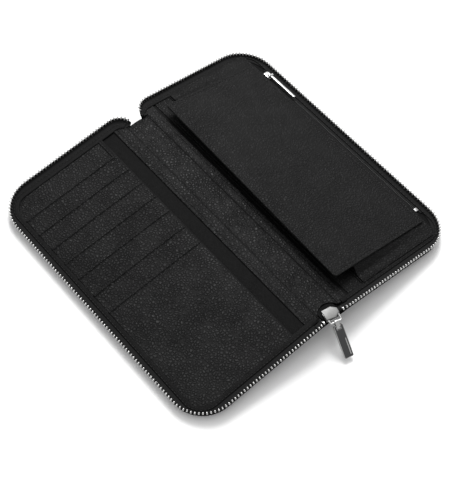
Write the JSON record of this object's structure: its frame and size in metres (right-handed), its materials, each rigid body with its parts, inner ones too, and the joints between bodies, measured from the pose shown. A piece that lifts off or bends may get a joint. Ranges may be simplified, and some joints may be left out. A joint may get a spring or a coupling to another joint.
{
  "type": "travel document organizer",
  "caption": "Zip-around leather travel wallet lying open, with card pockets, slip pockets, a lifting zip pocket and a slider with a hinged pull.",
  "frame": {"origin": "on the spine's outer face, midway between the two creases", "axes": "+X across the open wallet to the zip-pocket half, +Y along the spine to the end away from the slider, +Z from the spine's outer face to its lining"},
  "size_m": [0.2646, 0.2751, 0.0289],
  "materials": {
    "cover_leather": "pebbled black leather, semi-matt",
    "inner_leather": "pebbled black leather, semi-matt",
    "panel_leather": "fine-grained black leather, semi-matt",
    "board": "grey board",
    "padding": "thin foam",
    "lining_leather": "smooth black leather",
    "zip_tape": "woven black tape",
    "teeth_metal": "polished nickel",
    "slider_metal": "polished nickel",
    "tab_metal": "dark satin gunmetal",
    "coil": "black nylon"
  },
  "bodies": {
    "back_half": {"back_cover": "cover_leather", "back_padding": "padding", "back_board": "board", "back_lining": "lining_leather", "back_crease_flap": "inner_leather", "back_zip_tape": "zip_tape", "back_zip_teeth": "teeth_metal", "slip_pocket_1": "panel_leather", "slip_pocket_2": "panel_leather", "gusset_top": "panel_leather", "gusset_bottom": "panel_leather", "pocket_zip_tapes": "zip_tape", "pocket_zip_coil": "coil", "pocket_zip_stop": "slider_metal"},
    "spine": {"spine_cover": "cover_leather", "spine_stiffener": "board", "spine_lining": "inner_leather", "slider_body": "slider_metal", "slider_crown": "slider_metal", "slider_bridge": "slider_metal"},
    "front_half": {"front_cover": "cover_leather", "front_padding": "padding", "front_board": "board", "front_lining": "lining_leather", "front_crease_flap": "inner_leather", "front_zip_tape": "zip_tape", "front_zip_teeth": "teeth_metal", "card_panel": "inner_leather", "card_pocket_1": "inner_leather", "card_pocket_2": "inner_leather", "card_pocket_3": "inner_leather", "card_pocket_4": "inner_leather", "card_pocket_5": "inner_leather", "card_pocket_6": "inner_leather", "card_pocket_7": "inner_leather"},
    "zip_pocket": {"zip_pocket_back": "panel_leather", "zip_pocket_front": "panel_leather"},
    "pocket_slider": {"pocket_slider_body": "slider_metal"},
    "pocket_pull": {"pocket_pull_bar": "slider_metal"},
    "pull_link": {"pull_link": "slider_metal"},
    "pull_tab": {"pull_tab_bar": "tab_metal", "pull_tab_inlay": "slider_metal"}
  },
  "joints": [
    {"name": "right_crease", "type": "hinge", "parent": "back_half", "child": "spine", "pos_m": [0.0095, 0, 0.003], "axis": [0, 1, 0], "range_deg": [0, 97]},
    {"name": "left_crease", "type": "hinge", "parent": "spine", "child": "front_half", "pos_m": [-0.0095, 0, 0.003], "axis": [0, 1, 0], "range_deg": [0, 97]},
    {"name": "zip_pocket_lift", "type": "hinge", "parent": "back_half", "child": "zip_pocket", "pos_m": [0.11764, 0, -0.00736], "axis": [0, 1, 0], "range_deg": [-4.5, 0], "deforming": ["gusset_top", "gusset_bottom"]},
    {"name": "pocket_slider_travel", "type": "slide", "parent": "back_half", "child": "pocket_slider", "axis": [0, -1, 0], "range_m": [0, 0.16]},
    {"name": "pocket_pull_swing", "type": "hinge", "parent": "pocket_slider", "child": "pocket_pull", "pos_m": [0.12206, 0.0836, -0.00588], "axis": [0.9925, 0, -0.1219], "range_deg": [-165, 0]},
    {"name": "pull_link_swing", "type": "hinge", "parent": "spine", "child": "pull_link", "pos_m": [-0.00274, -0.12704, 0.0063], "axis": [0.9781, -0.2079, 0], "range_deg": [-150, 0]},
    {"name": "pull_tab_swing", "type": "hinge", "parent": "pull_link", "child": "pull_tab", "pos_m": [-0.00329, -0.12962, 0.00416], "axis": [-0.9781, 0.2079, 0], "range_deg": [0, 60]}
  ],
  "couplings": [
    {"joint": "left_crease", "follows": "right_crease", "ratio": 1}
  ]
}
